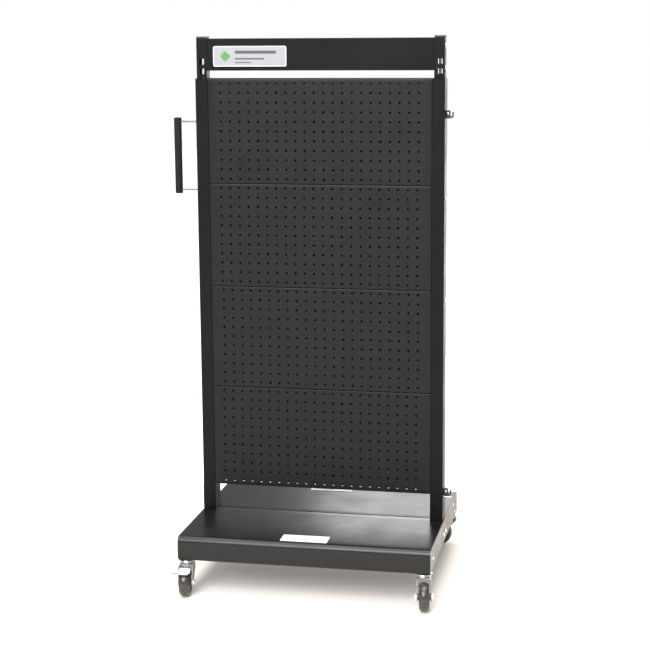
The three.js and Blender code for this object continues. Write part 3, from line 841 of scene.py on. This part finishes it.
def caster_axle(corner, place):
    """The axle bolt with a flanged hexagon head at one end and a dome nut at the other."""
    bm = bmesh.new()
    axis = place @ Matrix.Translation((0, -TRAIL, WHEEL_R)) @ Matrix.Rotation(math.pi / 2, 4, "Y")
    add_lathe(bm, [(0.0, -19.9), (3.9, -19.9), (3.9, 19.9), (0.0, 19.9)], 28, axis)
    for sign in (-1, 1):
        end = axis @ Matrix.Rotation(0.0 if sign > 0 else math.pi, 4, "X")
        add_lathe(bm, [(3.9, 19.8), (7.5, 19.8), (7.5, 20.5), (6.9, 20.9), (3.9, 20.9)], 36, end)
        add_lathe(bm, [(0.0, 20.9), (6.9, 20.9), (6.9, 23.9), (6.0, 24.8), (0.0, 25.0)], 6, end)
    replaced = (f"caster_axle_{corner}",)
    finish_mesh(f"axle_bolt_{corner}", bm, ZINC, f"swivel_{corner}", replaced, 25.0)


def brake_pedal(corner, place):
    """The brake lever: two ears on a pin, a curved shoe over the tread and a tab for the foot."""
    body = f"pedal_{corner}"
    half = SHOE_HALF
    shoe = []
    for angle in (47, 53, 60, 67, 74, 84):
        turn = math.radians(angle)
        shoe.append((-TRAIL - SHOE_R * math.cos(turn), WHEEL_R + SHOE_R * math.sin(turn)))
    bm = bmesh.new()
    rows = [[(x, y, z) for y, z in shoe] for x in (-half, -half / 2, 0.0, half / 2, half)]
    grid_faces(bm, rows)
    bmesh.ops.transform(bm, matrix=place, verts=bm.verts)
    replaced = (f"brake_pedal_{corner}",)
    piece = finish_mesh(f"brake_shoe_{corner}", bm, ZINC, body, replaced, 40.0)
    add_thickness(piece, 2.0, 0.0, 40.0, 0.5)

    bm = bmesh.new()
    y0, z0 = shoe[0]
    ear = [(y0 - 0.8, z0 + 1.0), (y0 + 1.0, z0 - 0.6), (-42.0, 72.5), (-13.0, 74.3), (-11.2, 75.2),
           (-10.3, 77.8), (-11.0, 80.2), (-13.0, 81.6), (-39.0, 83.3), (-50.0, 79.8)]
    for x0 in (-16.4, 14.8):
        add_plate(bm, ear, x0, x0 + 1.6)
    bmesh.ops.transform(bm, matrix=place, verts=bm.verts)
    piece = finish_mesh(f"brake_ears_{corner}", bm, ZINC, body)
    add_bevel(piece, 0.35)

    bm = bmesh.new()
    tab = [(y0 + 0.8, z0 - 0.4), (y0 - 0.4, z0 + 1.6), (y0 - 6.8, z0 + 0.5), (y0 - 7.0, z0 - 1.2)]
    add_plate(bm, tab, -33.0, 13.4)
    bmesh.ops.transform(bm, matrix=place, verts=bm.verts)
    piece = finish_mesh(f"brake_tab_{corner}", bm, DULL_ZINC, body)
    add_bevel(piece, 0.6, 3)

    bm = bmesh.new()
    pin_y, pin_z = PEDAL_PIN
    pin = place @ Matrix.Translation((0, pin_y, pin_z)) @ Matrix.Rotation(math.pi / 2, 4, "Y")
    add_lathe(bm, [(0.0, -19.3), (2.0, -19.3), (2.0, 19.3), (0.0, 19.3)], 24, pin)
    finish_mesh(f"brake_pin_{corner}", bm, ZINC, body)


def casters():
    for corner in CORNERS:
        place, swivel = caster_frame(corner)
        caster_head(corner, swivel)
        caster_fork(corner, place)
        caster_wheel(corner, place)
        caster_axle(corner, place)
        if f"brake_pedal_{corner}" in frame["nodes"]:
            brake_pedal(corner, place)


# Light, floor and camera.

def area_light(name, at, towards, size_x, size_y, radiance, color=(1.0, 1.0, 1.0)):
    """A rectangular softbox of a given brightness, which the camera doesn't see."""
    data = bpy.data.lights.new(name, "AREA")
    data.shape = "RECTANGLE"
    data.size = size_x
    data.size_y = size_y
    data.energy = radiance * size_x * size_y * math.pi
    data.color = color
    light = bpy.data.objects.new(name, data)
    light.location = at
    light.rotation_euler = (Vector(towards) - Vector(at)).to_track_quat("-Z", "Y").to_euler()
    light.visible_camera = False
    bpy.context.scene.collection.objects.link(light)


def surroundings():
    world = bpy.data.worlds.new("studio")
    bpy.context.scene.world = world
    world.use_nodes = True
    tree = world.node_tree
    tree.nodes.clear()
    path = make_node(tree, "ShaderNodeLightPath")
    seen = make_node(tree, "ShaderNodeBackground", {"Color": (1.0, 1.0, 1.0, 1.0), "Strength": 1.0})
    lit = make_node(tree, "ShaderNodeBackground", {"Color": (1.0, 0.97, 1.0, 1.0), "Strength": 0.36})
    mix = make_node(tree, "ShaderNodeMixShader")
    out = make_node(tree, "ShaderNodeOutputWorld")
    tree.links.new(path.outputs["Is Camera Ray"], mix.inputs["Fac"])
    tree.links.new(lit.outputs["Background"], mix.inputs[1])
    tree.links.new(seen.outputs["Background"], mix.inputs[2])
    tree.links.new(mix.outputs["Shader"], out.inputs["Surface"])

    area_light("overhead_softbox", (0.0, -0.2, 3.3), (0.0, -0.2, 0.0), size_x=2.8, size_y=2.6, radiance=6.0)
    area_light("back_softbox", (0.35, 3.0, 1.2), (0.35, 0.0, 1.2), size_x=1.9, size_y=2.2, radiance=2.6)
    # The front softbox is placed for the highlight along the front bullnose.
    area_light(
        "front_softbox", (-0.5, -4.2, 3.6), (0.0, -0.28, 0.15),
        size_x=3.0, size_y=3.4, radiance=13.0, color=(0.93, 0.94, 1.0),
    )

    bm = bmesh.new()
    steps = 6
    places = [-FLOOR_REACH + 2 * FLOOR_REACH * i / steps for i in range(steps + 1)]
    grid_faces(bm, [[(x, y, 0.0) for x in places] for y in places])
    material, tree, shader = new_tree("pale_floor", (0.8, 0.75, 0.66), 0.8)
    tone = noise_of(tree, 0.6, 2.0)
    base = mix_color(tree, tone, (0.79, 0.74, 0.65), (0.81, 0.765, 0.68))
    tree.links.new(base, shader.inputs["Base Color"])
    # The floor glows more with distance, so that it stays pale beyond the reach of the softboxes.
    place = make_node(tree, "ShaderNodeTexCoord")
    far = make_node(tree, "ShaderNodeVectorMath", operation="LENGTH")
    tree.links.new(place.outputs["Object"], far.inputs[0])
    glow = ramp(tree, far.outputs["Value"], 0.45, 3.0, 0.2, 1.0)
    tree.links.new(glow, shader.inputs["Emission Strength"])
    shader.inputs["Emission Color"].default_value = (1.0, 0.96, 0.9, 1.0)
    floor = finish_mesh("floor", bm, material, None)

    bpy.context.scene.view_settings.view_transform = "Standard"
    bpy.context.scene.view_settings.look = "None"


def camera():
    data = bpy.data.cameras.new("camera")
    data.lens = CAMERA_LENS
    data.sensor_width = 36.0
    data.clip_end = 60.0
    eye = bpy.data.objects.new("camera", data)
    turn = Matrix.Rotation(math.radians(CAMERA_HEADING), 4, "Z")
    tilt = Matrix.Rotation(math.radians(90.0 - CAMERA_PITCH), 4, "X")
    roll = Matrix.Rotation(math.radians(CAMERA_ROLL), 4, "Z")
    eye.matrix_world = Matrix.Translation(CAMERA_AT) @ turn @ tilt @ roll
    bpy.context.scene.collection.objects.link(eye)
    bpy.context.scene.camera = eye


for side in ("front", "rear"):
    for index in range(4):
        peg_panel(f"peg_panel_{side}_{index + 1}", index, side == "rear")
build_decks()
header_and_badge()
deck_labels()
fasteners()
handle()
side_hook("side_hook_upper")
side_hook("side_hook_lower")
casters()
for side in ("left", "right"):
    for kind in ("post", "post_sleeve", "post_socket"):
        repaint(f"{kind}_{side}", FRAME_PAINT)
    # The base sides take the copy with the painted warm reflection.
    repaint(f"base_side_{side}", BASE_PAINT_PAINTED_REFLECTION)
    repaint(f"post_cap_{side}", PLASTIC)
repaint("base_rail", FRAME_PAINT)
surroundings()
camera()
